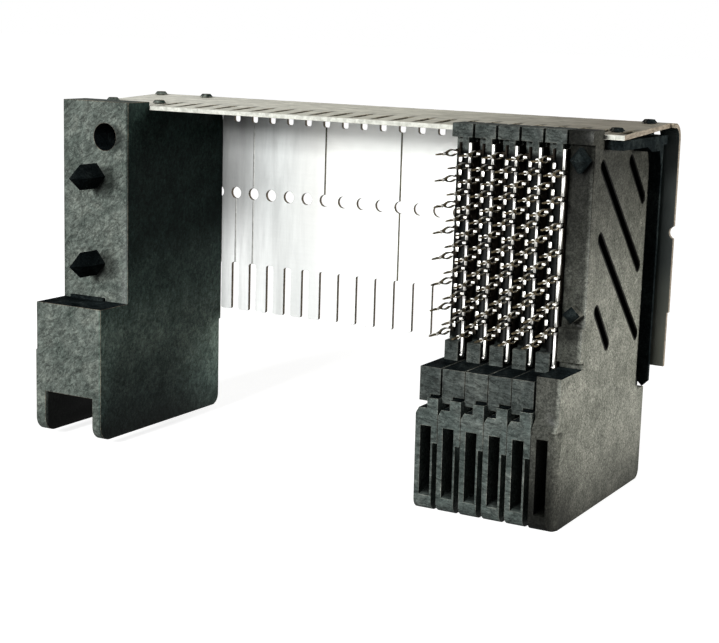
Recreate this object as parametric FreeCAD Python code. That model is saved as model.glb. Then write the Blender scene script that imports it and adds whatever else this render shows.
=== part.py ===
import FreeCAD, Part
import math
import os

# Grid of the connector. Column 0 of the organizer stands at x = 0, the board-side face of a wafer at y = 0.
wafer_pitch = 2.0
row_pitch = 2.05
column_count = 24
wafer_count = 5
first_column = 16
column_offset = 0.17
lip_top = 30.8

# Clearances
fit_gap = 0.05
lip_gap = 0.05
post_gap = 0.06
joint_gap = 0.15

# Organizer: a folded sheet with a back flange and a top flange that rises a little towards the bend
sheet = 0.4
sheet_drop = 0.35
sheet_rise = 0.6
organizer_left = -6.6
organizer_overhang = 0.02
top_flange_front = 2.3
flange_back = 14.5
bend_radius = 1.4
finger_bottom = 10.3
comb_slot_width = 0.8
comb_slot_top = 14.97
finger_corner = 0.2
comb_slot_corner = 0.2
mid_hole_radius = 0.56
ring_sides = 10
mid_hole_height = 21.8
bend_hole_width = 0.7
bend_hole_drop = 2.15
bend_hole_corner = 0.2
top_slot_width = 0.7
top_slot_length = 3.0
top_slot_inset = 0.9
score_width = 0.14
score_depth = 0.1
upper_scores = (2, 6, 10)
lower_scores = (1, 2, 10)
edge_hole_offset = 0.18
edge_step = 0.15
top_flange_step = 0.5

# Guide module
guide_width = 7.3
guide_right = 0.4
guide_front = -0.9
guide_foot_front = -4.8
guide_foot_top = 12.7
guide_lift = 0.65
guide_leg = 0.95
guide_tunnel_top = 4.5
guide_front_radius = 1.3
guide_back_radius = 1.0
guide_back_step = 0.25
guide_back_step_top = 9.2
guide_side_step = 0.12
guide_side_step_top = 8.3
screw_bore_radius = 1.25
screw_bore_depth = 9.0
screw_bore_inset = 2.6
screw_bore_drop = 3.16
guide_peg_inset = 3.5
guide_peg_drops = (6.7, 14.6)
guide_peg_half = (0.95, 1.15)
guide_peg_body = 2.4
guide_peg_tip = 1.5
base_rib = 0.3
base_rib_length = 3.8

# Posts that stand through the organizer, with flattened heads that hold it
post_radius = 0.42
post_rise = 0.34
post_head = (0.62, 0.4)
guide_post_insets = (0.5, 5.8)
end_post_reach = 0.19
post_rows = (4.4, 11.9)

# Wafer housing, measured from the wafer's left plane
slab_width = 1.76
slab_front = 1.2
slab_back = 13.3
head_inset = 0.1
head_width = 1.8
head_height = 1.1
pad_left = 1.04
pad_right = 1.6
pad_recess = 0.8
block_left = 0.4
block_front = -0.5
block_top = 13.3
band_front = -3.92
band_top = 11.7
band_bottom = 8.9
band_notch_top = 9.5
band_notch_left = 1.0
band_notch_depth = 1.4
opened_gap = 0.15
lug_width = 0.56
lug_length = 1.45
tab_width = 0.38
tab_height = 2.0

# Foot of a wafer
foot_front = -4.55
foot_back = 15.1
foot_back_top = 8.15
foot_shoulder = 8.5
foot_chamfer = (0.28, 0.5)
foot_radius = 0.9
foot_draft = 0.15
foot_slot_top = 5.7
foot_slot_left = 1.6
foot_slot_back_wall = 2.2
groove_left = 0.5
groove_right = 1.45
groove_depth = 2.25
groove_bottom = (1.25, 1.7)
groove_top = 7.05
end_groove_top = 7.4
aperture = (0.8, 0.9, 1.6)

# Needle-eye tails and the leads that carry them
top_signal_drop = 2.3
lowest_tail_clearance = 0.85
ground_stagger = 1.0
tail_thickness = 0.2
tail_tip = -3.9
eye_back = -0.1
eye_front = -2.3
eye_half = 0.285
eye_wall = 0.1
tail_half = 0.1
signal_tail_x = 0.7
ground_tail_x = 1.78
lead_x = 0.92
lead_front = -0.3
lead_back = 0.3
lead_above = 0.19
lead_below = 0.24
lead_top_drop = 1.5
lead_foot = (0.1, 0.25)

# Ground shield
shield_thickness = 0.2
shield_bottom = 12.0
shield_back = 12.6
shield_notch_half = 0.22
shield_notch_depth = 0.6
shield_bead = 0.2

# End wafer
end_width = 2.08
end_back = 13.5
end_face = 0.48
end_ledge_top = 12.16
end_ledge_front = -3.95
end_radius = 0.8
end_bevel = (0.55, 1.3)
end_bevel_top = 8.8
end_block_bottom = 12.7
end_block_top = 15.4
end_block_front = -0.1
end_peg_x = 1.12
end_pegs = ((2.3, 0.75, 1.0, 0.9, 1.1), (14.3, 0.75, 0.7, 0.8, 0.8))
side_slot_width = 0.68
side_slot_depth = 0.8
side_slot_tip = 0.45
side_slot_setback = 0.06
side_slots = (((1.96, 2.51), (12.1, 12.04)), ((8.37, 2.45), (12.3, 6.34)),
              ((2.25, 8.2), (12.49, 17.92)), ((2.3, 13.95), (5.66, 17.73)))
shelf_reach = 1.49
shelf_outline = ((2.5, 1.54), (8.1, 1.54), (9.3, 2.0), (11.3, 2.0), (12.2, 1.54), (12.9, 1.54))
rib_reach = 1.0
rib_thickness = 0.4
rib_bottom = 8.6
rib_point = 0.5
rib_bend_drop = 3.4
rib_bend_reach = 0.8

# How far a cutting shape reaches past the surface that it opens
past = 1.0

# Places that follow from the sizes above. A drop is a distance below the top of the lips.
seat_height = lip_top - sheet_drop - sheet - fit_gap
head_bottom = lip_top - head_height
bend_hole_bottom = lip_top - bend_hole_drop
top_signal_height = lip_top - top_signal_drop
top_ground_height = top_signal_height - ground_stagger
lead_top = lip_top - lead_top_drop
lowest_tail = block_top + lowest_tail_clearance
signal_rows = 1 + round((top_signal_height - lowest_tail) // row_pitch)
ground_rows = signal_rows - 1
flange_front = flange_back - sheet
bend_start = flange_back - bend_radius
organizer_right = wafer_pitch * (column_count - 1) + organizer_overhang
guide_left = guide_right - guide_width
lip_back = top_flange_front - lip_gap
sheet_slope = sheet_rise / (flange_back - top_flange_front)


def box(x, y, z):
    """A block from three (low, high) pairs."""
    size = [high - low for low, high in (x, y, z)]
    return Part.makeBox(*size, FreeCAD.Vector(x[0], y[0], z[0]))


def place(plane, a, b, depth):
    """A point of a flat outline, lifted to its depth along the outline's normal."""
    if plane == "YZ":
        return FreeCAD.Vector(depth, a, b)
    if plane == "XZ":
        return FreeCAD.Vector(a, depth, b)
    return FreeCAD.Vector(a, b, depth)


def outline(corners, plane, low, high):
    """A prism from low to high. Its corners are round where they have a radius."""
    points = [place(plane, corner[0], corner[1], low) for corner in corners]
    radii = [corner[2] if len(corner) > 2 else 0.0 for corner in corners]
    edges = []
    ends = []
    for index, point in enumerate(points):
        before = (points[index - 1] - point).normalize()
        after = (points[(index + 1) % len(points)] - point).normalize()
        radius = radii[index]
        if radius == 0.0:
            ends.append((point, None, point))
            continue
        half = before.getAngle(after) / 2
        setback = radius / math.tan(half)
        middle = (before + after).normalize()
        crown = point + middle * (radius / math.sin(half) - radius)
        ends.append((point + before * setback, crown, point + after * setback))
    for index, (start, crown, end) in enumerate(ends):
        if crown is not None:
            edges.append(Part.Arc(start, crown, end).toShape())
        following = ends[(index + 1) % len(ends)][0]
        if end.distanceToPoint(following) > 1e-6:
            edges.append(Part.makeLine(end, following))
    face = Part.Face(Part.Wire(edges))
    return face.extrude(place(plane, 0, 0, high - low))


def ring(a, b, radius):
    """Corners of a many-sided hole or post, whose sides touch a circle of this radius."""
    turn = 2 * math.pi / ring_sides
    reach = radius / math.cos(turn / 2)
    return [(a + reach * math.cos(turn * (side + 0.5)), b + reach * math.sin(turn * (side + 0.5)))
            for side in range(ring_sides)]


def sheet_top(y):
    """Height of the organizer's upper surface at a place along its top flange."""
    return lip_top - sheet_drop + sheet_slope * (y - top_flange_front)


def side_slot(start, end, low, high):
    """A slot with blunt ends in a side face. Its tips are (y, drop) points."""
    tip = FreeCAD.Vector(0, start[0], lip_top - start[1])
    far = FreeCAD.Vector(0, end[0], lip_top - end[1])
    along = (far - tip).normalize()
    across = FreeCAD.Vector(0, -along.z, along.y) * (side_slot_width / 2)
    ends = []
    for tip_point, inwards in ((tip, along), (far, along * -1)):
        for side in (-1, -side_slot_tip, side_slot_tip, 1):
            step = inwards * (side_slot_width / 2 if abs(side) == 1 else side_slot_setback)
            ends.append(tip_point + step + across * (side * inwards.dot(along)))
    return outline([(point.y, point.z) for point in ends], "YZ", low, high)


def peg(x, face, z, half_x, half_z, body, tip):
    """A pointed four-sided peg that stands out of a face towards the board."""
    corners = [(x, z + half_z), (x + half_x, z), (x, z - half_z), (x - half_x, z)]
    shank = outline(corners, "XZ", face - body, face)
    base = Part.makePolygon([place("XZ", a, b, face - body) for a, b in corners + corners[:1]])
    point = Part.Vertex(x, face - body - tip, z)
    return shank.fuse(Part.makeLoft([base, point], True, True)).removeSplitter()


def post(x, y):
    """A post through the organizer, with a low head a small gap above the sheet."""
    wide, narrow = post_head
    head_base = sheet_top(y + wide) + fit_gap
    head_top = sheet_top(y) + post_rise
    shank = outline(ring(x, y, post_radius), "XY", seat_height, head_top)
    rims = []
    for radius, height in ((wide, head_base), (narrow, head_top)):
        corners = [place("XY", a, b, height) for a, b in ring(x, y, radius)]
        rims.append(Part.makePolygon(corners + corners[:1]))
    return shank.fuse(Part.makeLoft(rims, True, True))


def post_places():
    """Posts of the guide module, then posts of the end wafer."""
    guide = [(guide_right - inset, y) for inset in guide_post_insets for y in post_rows]
    end_x = wafer_left(wafer_count) + end_width + end_post_reach
    return guide, [(end_x, y) for y in post_rows]


def wafer_left(index):
    """Left plane of a wafer position. Position 0 is the first wafer."""
    return wafer_pitch * (first_column + index) - column_offset


def organizer():
    profile = [
        (top_flange_front, sheet_top(top_flange_front)),
        (flange_back, sheet_top(flange_back), bend_radius),
        (flange_back, finger_bottom),
        (flange_front, finger_bottom),
        (flange_front, sheet_top(flange_front) - sheet, bend_radius - sheet),
        (top_flange_front, sheet_top(top_flange_front) - sheet),
    ]
    strip = outline(profile, "YZ", organizer_left, organizer_right)
    through = (flange_front - past, flange_back + past)
    over = sheet_top(flange_back) + past
    top_through = (seat_height - past, over)
    cuts = []
    hole_places = [wafer_pitch * column for column in range(column_count - 1)]
    for x in hole_places + [organizer_right + edge_hole_offset]:
        cuts.append(outline(ring(x, mid_hole_height, mid_hole_radius), "XZ", *through))
    for x in hole_places:
        cuts.append(bend_hole(x, through[1], over))
        cuts.append(comb_slot(x, through))
        slot_x = x + wafer_pitch / 2
        slot_front = top_flange_front + top_slot_inset
        cuts.append(box((slot_x - top_slot_width / 2, slot_x + top_slot_width / 2),
                        (slot_front, slot_front + top_slot_length), top_through))
    cuts += [score(column, mid_hole_height, bend_hole_bottom + score_depth) for column in upper_scores]
    cuts += [score(column, comb_slot_top - score_depth, mid_hole_height) for column in lower_scores]
    for x, y in post_places()[0] + post_places()[1]:
        cuts.append(outline(ring(x, y, post_radius + post_gap), "XY", *top_through))
    beyond = organizer_right + past
    cuts.append(box((organizer_right - top_flange_step, beyond), (0, bend_start), top_through))
    cuts.append(box((organizer_right - edge_step, beyond), through, (0, comb_slot_top)))
    return strip.cut(Part.makeCompound(cuts))


def score(column, low, high):
    """A shallow groove down the front of the back flange, from one opening of a column to another."""
    x = wafer_pitch * column
    return box((x - score_width / 2, x + score_width / 2), (flange_front, flange_front + score_depth), (low, high))


def bend_hole(x, back, over):
    """An opening from the back flange up through the bend, with its lower corners cut off."""
    half = bend_hole_width / 2
    narrow = half - bend_hole_corner
    shoulder = bend_hole_bottom + bend_hole_corner
    corners = [(x - narrow, bend_hole_bottom), (x + narrow, bend_hole_bottom), (x + half, shoulder),
               (x + half, over), (x - half, over), (x - half, shoulder)]
    return outline(corners, "XZ", bend_start, back)


def comb_slot(x, through):
    """The space between two fingers, which takes the corners off its closed end and off the fingers."""
    half = comb_slot_width / 2
    wide = half + finger_corner
    narrow = half - comb_slot_corner
    below = finger_bottom - past
    right = [(x + narrow, comb_slot_top), (x + half, comb_slot_top - comb_slot_corner),
             (x + half, finger_bottom + finger_corner), (x + wide, finger_bottom), (x + wide, below)]
    corners = right + [(2 * x - across, up) for across, up in reversed(right)]
    return outline(corners, "XZ", *through)


def guide_module():
    back = flange_front - fit_gap
    profile = [
        (guide_foot_front, guide_lift, guide_front_radius),
        (guide_foot_front, guide_foot_top),
        (guide_front, guide_foot_top),
        (guide_front, lip_top),
        (lip_back, lip_top),
        (lip_back, seat_height),
        (back, seat_height, bend_radius - sheet + fit_gap),
        (back, guide_back_step_top),
        (back - guide_back_step, guide_back_step_top),
        (back - guide_back_step, guide_lift, guide_back_radius),
    ]
    body = outline(profile, "YZ", guide_left, guide_right)
    side_view = [(guide_foot_front, guide_lift, guide_front_radius), (guide_foot_front, guide_side_step_top),
                 (back - guide_back_step, guide_side_step_top),
                 (back - guide_back_step, guide_lift, guide_back_radius)]
    side = outline(side_view, "YZ", guide_left - guide_side_step, guide_left)
    rib = box((guide_left + guide_leg, guide_left + guide_leg + base_rib_length),
              (guide_front - base_rib, guide_front), (guide_foot_top, guide_foot_top + base_rib))
    peg_x = guide_right - guide_peg_inset
    pegs = [peg(peg_x, guide_front, lip_top - drop, *guide_peg_half, guide_peg_body, guide_peg_tip)
            for drop in guide_peg_drops]
    posts = [post(x, y) for x, y in post_places()[0]]
    tunnel = box((guide_left + guide_leg, guide_right - guide_leg), (guide_foot_front - past, back + past),
                 (guide_lift - past, guide_tunnel_top))
    mouth = FreeCAD.Vector(guide_right - screw_bore_inset, guide_front, lip_top - screw_bore_drop)
    bore = Part.makeCylinder(screw_bore_radius, screw_bore_depth, mouth, FreeCAD.Vector(0, 1, 0))
    return body.fuse([side, rib] + pegs + posts).cut([tunnel, bore]).removeSplitter()


def wafer_housing(x, band_gap):
    slab = outline([(slab_front, band_bottom), (slab_front, seat_height), (slab_back, seat_height, bend_radius),
                    (slab_back, band_bottom)], "YZ", x, x + slab_width)
    head = outline([(0, head_bottom), (0, lip_top), (lip_back, lip_top), (lip_back, head_bottom)],
                   "YZ", x + head_inset, x + head_inset + head_width)
    pad = box((x + pad_left, x + pad_right), (0, slab_front), (block_top, head_bottom))
    inner = box((x + block_left, x + pad_left), (pad_recess, slab_front), (block_top, head_bottom))
    block = box((x + block_left, x + pad_right), (block_front, slab_front), (band_top, block_top))
    band = box((x, x + wafer_pitch - band_gap), (band_front, slab_front), (band_bottom, band_top))
    lug_x = x + column_offset + wafer_pitch / 2
    lug_front = top_flange_front + top_slot_inset + fit_gap
    lug = box((lug_x - lug_width / 2, lug_x + lug_width / 2), (lug_front, lug_front + lug_length),
              (seat_height, sheet_top(lug_front) - fit_gap))
    tab_top = comb_slot_top - tab_height
    tab = box((x, x + tab_width), (slab_back, flange_back), (tab_top - tab_height, tab_top))
    notch = box((x + band_notch_left, x + wafer_pitch + past), (band_front - past, slab_back + past),
                (band_bottom - past, band_notch_top))
    return slab.fuse([head, pad, inner, block, band, lug, tab]).cut(notch).removeSplitter()


def apertures(x):
    """Openings for the mating contacts, one for each signal row, in the underside of a foot."""
    width, length, depth = aperture
    middle = (foot_front + foot_back) / 2
    first = middle - row_pitch * (signal_rows - 1) / 2
    centre = x + (groove_left + groove_right) / 2
    rows = [first + row_pitch * row for row in range(signal_rows)]
    return [box((centre - width / 2, centre + width / 2), (y - length / 2, y + length / 2), (-past, depth))
            for y in rows]


def foot_groove(x, top):
    """The groove in the front of a foot, with a floor that rises inwards."""
    deep = foot_front + groove_depth
    open_front = foot_front - past
    return outline([(open_front, groove_bottom[0]), (foot_front, groove_bottom[0]), (deep, groove_bottom[1]),
                    (deep, top), (open_front, top)], "YZ", x + groove_left, x + groove_right)


def wafer_foot(x):
    left = x + fit_gap
    right = x + wafer_pitch
    front_view = [
        (left, 0), (left, foot_shoulder - foot_chamfer[1]), (left + foot_chamfer[0], foot_shoulder),
        (x + band_notch_left + fit_gap, foot_shoulder),
        (x + band_notch_left + fit_gap, band_notch_top - joint_gap),
        (right, band_notch_top - joint_gap), (right, 0),
    ]
    block = outline(front_view, "XZ", foot_front, foot_back)
    side_view = [(foot_front + foot_draft, 0, foot_radius), (foot_front, foot_shoulder),
                 (foot_front, band_notch_top), (foot_back, band_notch_top), (foot_back, 0, foot_radius)]
    block = block.common(outline(side_view, "YZ", left - past, right + past))
    seat = box((left + foot_chamfer[0], x + band_notch_left), (band_front + band_notch_depth, slab_back),
               (foot_shoulder, band_bottom))
    slot = box((x + foot_slot_left, right + past), (foot_front - past, foot_back - foot_slot_back_wall),
               (-past, foot_slot_top))
    back = box((left - past, right + past), (slab_back, foot_back + past), (foot_back_top, band_notch_top))
    return block.fuse(seat).cut([slot, back, foot_groove(x, groove_top)] + apertures(x)).removeSplitter()


def needle_eye(x, z, root):
    """A flat stamped tail: a root, an eye that gives way in the board's hole, and a thin tip."""
    middle = (eye_back + eye_front) / 2
    top = [(root, tail_half), (eye_back, tail_half), (middle, eye_half), (eye_front, tail_half),
           (tail_tip, tail_half / 2)]
    rim = [(y, z + h) for y, h in top] + [(y, z - h) for y, h in reversed(top)]
    inner = eye_half - eye_wall
    reach = (eye_back - eye_front) * inner / eye_half / 2
    hole = [(middle + reach, z), (middle, z + inner), (middle - reach, z), (middle, z - inner)]
    low = x - tail_thickness / 2
    high = x + tail_thickness / 2
    return outline(rim, "YZ", low, high).cut(outline(hole, "YZ", low - past, high + past))


def signal_contacts(x):
    """Separate contacts, each with a lead bar that rises above its tail."""
    contacts = []
    for row in range(signal_rows):
        z = top_signal_height - row_pitch * row
        bar_top = z + row_pitch - lead_below if row else lead_top
        bar = box((x + lead_x, x + pad_left), (lead_front, lead_back), (z + lead_above, bar_top))
        foot = box((x + signal_tail_x - tail_thickness / 2, x + pad_left), (lead_front, pad_recess),
                   (z - lead_foot[0], z + lead_foot[1]))
        tail = needle_eye(x + signal_tail_x, z, 0)
        contacts.append(foot.fuse([bar, tail]).removeSplitter())
    return Part.makeCompound(contacts)


def ground_shield(x):
    low = x + slab_width
    high = low + shield_thickness
    plate = box((low, high), (lead_front, shield_back), (shield_bottom, lead_top))
    bead = outline([(lead_front - shield_bead, shield_bottom + shield_bead), (lead_front, shield_bottom),
                    (lead_front + shield_bead, shield_bottom + shield_bead),
                    (lead_front, shield_bottom + 2 * shield_bead)], "YZ", low, high)
    heights = [top_ground_height - row_pitch * row for row in range(ground_rows)]
    notches = [box((low - past, high + past), (lead_front - past, lead_front + shield_notch_depth),
                   (z - shield_notch_half, z + shield_notch_half)) for z in heights]
    tails = [needle_eye(x + ground_tail_x, z, lead_front + shield_notch_depth + tail_thickness) for z in heights]
    return plate.fuse(bead).cut(notches).fuse(tails).removeSplitter()


def end_body(left, right):
    profile = [
        (foot_front + foot_draft, 0, end_radius),
        (foot_front, end_bevel_top - end_radius),
        (end_ledge_front, end_bevel_top),
        (end_ledge_front, end_ledge_top),
        (end_face, end_ledge_top),
        (end_face, head_bottom),
        (0, head_bottom),
        (0, lip_top),
        (lip_back, lip_top),
        (lip_back, seat_height),
        (end_back, seat_height, bend_radius),
        (end_back, foot_back_top),
        (foot_back, foot_back_top),
        (foot_back, 0, end_radius),
    ]
    return outline(profile, "YZ", left, right)


def end_shelf(right):
    """The shelf under the organizer and its long rib near the back."""
    underside = [(y, lip_top - drop) for y, drop in shelf_outline]
    low, high = underside[0], underside[-1]
    seat = [(high[0], seat_height), (low[0], seat_height)]
    shelf = outline(underside + seat, "YZ", right, right + shelf_reach)
    front = end_back - rib_thickness
    side = outline([(front, rib_bottom), (front, lip_top - rib_bend_drop), (front - rib_bend_reach, high[1]),
                    (end_back, high[1]), (end_back, rib_bottom)], "YZ", right, right + rib_reach)
    face = outline([(right, rib_bottom + rib_point), (right + rib_reach / 2, rib_bottom),
                    (right + rib_reach, rib_bottom + rib_point), (right + rib_reach, seat_height),
                    (right, seat_height)], "XZ", 0, foot_back)
    return [shelf, side.common(face)]


def end_wafer():
    left = wafer_left(wafer_count) + fit_gap
    right = wafer_left(wafer_count) + end_width
    block = box((left, right), (end_block_front, end_face), (end_block_bottom, end_block_top))
    peg_x = wafer_left(wafer_count) + end_peg_x
    pegs = [peg(peg_x, end_face, lip_top - drop, *sizes) for drop, *sizes in end_pegs]
    posts = [post(x, y) for x, y in post_places()[1]]
    body = end_body(left, right).fuse([block] + end_shelf(right) + pegs + posts)
    slots = [side_slot(start, end, right - side_slot_depth, right + past) for start, end in side_slots]
    bevel = outline([(right - end_bevel[0], foot_front), (right, foot_front + end_bevel[1]),
                     (right + past, foot_front + end_bevel[1]), (right + past, foot_front - past),
                     (right - end_bevel[0], foot_front - past)], "XY", -past, end_bevel_top - end_radius)
    x = wafer_left(wafer_count)
    return body.cut(slots + [bevel, foot_groove(x, end_groove_top)] + apertures(x)).removeSplitter()


def all_parts():
    parts = {"organizer": organizer(), "guide_module": guide_module(), "end_wafer": end_wafer()}
    for index in range(wafer_count):
        x = wafer_left(index)
        at_stack_end = index in (0, wafer_count - 1)
        name = "wafer_%d_" % (index + 1)
        parts[name + "housing"] = wafer_housing(x, opened_gap if at_stack_end else fit_gap)
        parts[name + "foot"] = wafer_foot(x)
        parts[name + "signal_contacts"] = signal_contacts(x)
        parts[name + "shield"] = ground_shield(x)
    return parts


def main():
    parts = all_parts()
    bounds = Part.makeCompound(list(parts.values())).BoundBox
    centre = FreeCAD.Vector(bounds.Center.x, bounds.Center.y, bounds.ZMin)
    os.makedirs("parts", exist_ok=True)
    for name, shape in parts.items():
        shape.translate(centre * -1)
        shape.exportStep("parts/%s.step" % name)


main()
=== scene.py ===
import math

import bmesh
import bpy
from mathutils import Matrix, Vector


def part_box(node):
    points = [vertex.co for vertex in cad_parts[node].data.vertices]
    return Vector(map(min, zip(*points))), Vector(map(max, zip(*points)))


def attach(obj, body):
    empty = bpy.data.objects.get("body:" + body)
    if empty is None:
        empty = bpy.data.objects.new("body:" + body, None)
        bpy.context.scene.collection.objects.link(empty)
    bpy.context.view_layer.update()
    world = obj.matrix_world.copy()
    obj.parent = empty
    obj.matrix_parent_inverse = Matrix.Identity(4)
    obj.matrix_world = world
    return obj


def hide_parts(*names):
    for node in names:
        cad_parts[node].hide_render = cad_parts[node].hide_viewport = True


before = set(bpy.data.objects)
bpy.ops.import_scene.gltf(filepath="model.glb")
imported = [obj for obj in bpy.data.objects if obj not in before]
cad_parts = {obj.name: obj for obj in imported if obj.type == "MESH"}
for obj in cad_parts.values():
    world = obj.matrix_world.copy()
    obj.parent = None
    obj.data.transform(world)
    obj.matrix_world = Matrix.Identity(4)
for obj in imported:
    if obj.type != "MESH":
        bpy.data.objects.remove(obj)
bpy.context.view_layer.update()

MM = 0.001

# Lengths and places are in millimetres. Places on a face are pairs, in the order of the axes named with them.

# Camera, solved from the photograph
PHOTO_WIDTH = 719
FOCAL_PIXELS = 1594.8
SENSOR_WIDTH = 36.0
CAMERA_PLACE = (68.48, -119.98, 38.47)
CAMERA_YAW = math.radians(-29.13)
CAMERA_PITCH = math.radians(10.65)
CAMERA_ROLL = math.radians(1.68)
NEAREST_SEEN = 5.0

# Floor. It is a little below white near the connector, and white beyond the second distance of FLOOR_FADE.
FLOOR_REACH = 2000.0
FLOOR_DROP = 0.02
FLOOR_FADE = (35, 75)
FLOOR_GLOW = (0.84, 1.0)

# Grid of the connector. Column 0 of the organizer stands at COLUMN_ORIGIN, and FACE_Y is the board side of the
# wafers, from which the solids are measured backwards. FOOT_GROOVE_X counts from a wafer's left.
PITCH = 2.0
ROW_PITCH = 2.05
COLUMN_ORIGIN = -19.5
FACE_Y = -5.15
HEIGHT = 31.0
WAFERS = range(1, 6)
FIRST_WAFER_LEFT = 12.33
POCKET_BOTTOM = 13.15
POCKET_TOP = 28.95
HOUSING_LEDGE = (11.5, 11.9)
FOOT_SHOULDER_Z = 8.2
FOOT_GROOVE_X = (0.5, 1.51)
FOOT_GROOVE_Z = (1.1, 7.9)

# End wafer: the plain of its outer side, the middle lines of the slots in that side as (y, z) places, the half
# width of a slot with the painted shade beside it, and the painted shadows round the pegs as (x, z) places with
# their reach
END_SIDE_X = 24.41
END_LEDGE = (11.9, 12.4)
END_UPPER_PEG = (26.5, 30)
END_LOWER_PEG = (12.4, 17)
SIDE_SLOTS = (((-3.19, 28.29), (6.95, 18.76)), ((3.22, 28.35), (7.15, 24.46)),
              ((-2.9, 22.6), (7.34, 12.88)), ((-2.85, 16.85), (0.51, 13.07)))
SLOT_SHADE_REACH = 0.5
END_PAINTED_SHADOWS = (((23.4, 28.3), 1.5), ((23.4, 15.2), 1.4))

# Guide module: its sides and front, the x, z and radius of its screw bore, and the painted shadows round bore and
# pegs
GUIDE_LEFT = -26.4
GUIDE_RIGHT = -19.1
GUIDE_FRONT_Y = FACE_Y - 0.9
GUIDE_FOOT_TOP = 12.7
GUIDE_LEDGE = (12, 13.2)
SCREW_BORE = (-21.7, 27.64, 1.3)
GUIDE_PAINTED_SHADOWS = (((-21.6, 23.7), 1.9), ((-21.6, 16.0), 1.9), ((-20.6, 27.6), 1.6))

# Organizer, as in the solids. Each of its rows has OPENINGS openings. STRIP_SPAN is a little more than its length,
# for its stains and painted shade.
OPENINGS = 23
STRIP_SPAN = 60.0
SHEET = 0.4
BACK_Y = 14.5 + FACE_Y
BEND_RADIUS = 1.4
TOP_FRONT_Y = 2.3 + FACE_Y
TOP_FRONT_Z = 30.45
TOP_BACK_Z = 31.05
TOP_END_TRIM = 0.5
LOWER_END_TRIM = 0.15
FINGER_BOTTOM = 10.3
FINGER_CORNER = 0.2
COMB_SLOT_WIDTH = 0.8
COMB_SLOT_TOP = 14.97
MID_HOLE_RADIUS = 0.56
MID_HOLE_Z = 21.8
BEND_HOLE_WIDTH = 0.7
BEND_HOLE_BOTTOM = 28.65
TOP_SLOT_WIDTH = 0.7
TOP_SLOT_FRONT = 3.2 + FACE_Y
TOP_SLOT_BACK = 6.2 + FACE_Y
TOP_SLOT_CORNER = 0.12
OPENING_CORNER = 0.22
END_NOTCH_OFFSET = 0.18
POST_ROWS = (4.4 + FACE_Y, 11.9 + FACE_Y)
POST_COLUMNS = (-19.6, -24.9, 24.6)
POST_HOLE_RADIUS = 0.48

# How far the cutters of the organizer's openings pass the back, and the other faces and ends of the sheet
BACK_OVERRUN = 0.8
OVERRUN = 1.0
BELOW_FINGERS = 5.0

# Score lines of the organizer, by the columns that they run through. They reach into the openings at their ends
# by SCORE_OVERLAP, and their cutters stand out of the sheet by SCORE_OVERRUN.
SCORE_WIDTH = 0.14
SCORE_DEPTH = 0.1
SCORE_OVERLAP = 0.1
SCORE_OVERRUN = 0.2
UPPER_SCORES = (2, 6, 10)
LOWER_SCORES = (1, 2, 10)
DEEP_SCORES = (6, 10)

# Tails, as in the solids. Their y places are measured from FACE_Y, their x places from the wafer's left.
SIGNAL_TAIL_X = 0.7
GROUND_TAIL_X = 1.78
TOP_SIGNAL_Z = 28.5
TOP_GROUND_Z = 27.5
TAIL_THICKNESS = 0.196
TAIL_TIP_Y = -3.9
TAIL_TIP_LENGTH = 0.3
EYE_BACK_Y = -0.1
EYE_FRONT_Y = -2.3
EYE_MIDDLE_Y = (EYE_BACK_Y + EYE_FRONT_Y) / 2
EYE_BULGE = 0.2
NECK_HALF = 0.085
TIP_TAPER = 0.035
EYE_HOLE_REACH = 0.78
EYE_HOLE_HALF = 0.185
SHIELD_BAR_X = 1.6
FINE_EDGE = 0.015

# Painted highlights on the tails and leads: (from, to) along a tail, and (from, to) in height between two tails
GLINT_RADIUS = 0.16
GLINTS = ((-0.5, -0.2), (-2.85, -2.6))
BRIGHT_EYE = (-2.1, -0.9)
LEAD_FACES = ((-0.74, -0.28), (-1.78, -1.32))
LEAD_FACE_DEPTH = (-0.34, -0.28)
LEAD_FACE_WIDTH = 0.27
LEAD_FACE_MIDDLE = 0.38
LEAD_FACE_CORNER = (0.04, 0.05)


def add_camera():
    ahead = Vector((math.sin(CAMERA_YAW) * math.cos(CAMERA_PITCH),
                    math.cos(CAMERA_YAW) * math.cos(CAMERA_PITCH), -math.sin(CAMERA_PITCH)))
    level = Vector((math.cos(CAMERA_YAW), -math.sin(CAMERA_YAW), 0))
    upright = level.cross(ahead)
    right = math.cos(CAMERA_ROLL) * level + math.sin(CAMERA_ROLL) * upright
    up = math.cos(CAMERA_ROLL) * upright - math.sin(CAMERA_ROLL) * level
    camera = bpy.data.objects.new("camera", bpy.data.cameras.new("camera"))
    camera.data.lens = FOCAL_PIXELS / PHOTO_WIDTH * SENSOR_WIDTH
    camera.data.sensor_width = SENSOR_WIDTH
    camera.data.clip_start = NEAREST_SEEN * MM
    turn = Matrix((right, up, -ahead)).transposed()
    camera.matrix_world = Matrix.Translation(Vector(CAMERA_PLACE) * MM) @ turn.to_4x4()
    bpy.context.scene.collection.objects.link(camera)
    bpy.context.scene.camera = camera


def add_lamp(name, place, target, size, watts, color):
    lamp = bpy.data.objects.new(name, bpy.data.lights.new(name, "AREA"))
    lamp.data.shape = "DISK"
    lamp.data.size = size * MM
    lamp.data.energy = watts
    lamp.data.color = color
    away = Vector(place) - Vector(target)
    turn = away.to_track_quat("Z", "Y").to_matrix().to_4x4()
    lamp.matrix_world = Matrix.Translation(Vector(place) * MM) @ turn
    bpy.context.scene.collection.objects.link(lamp)


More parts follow.
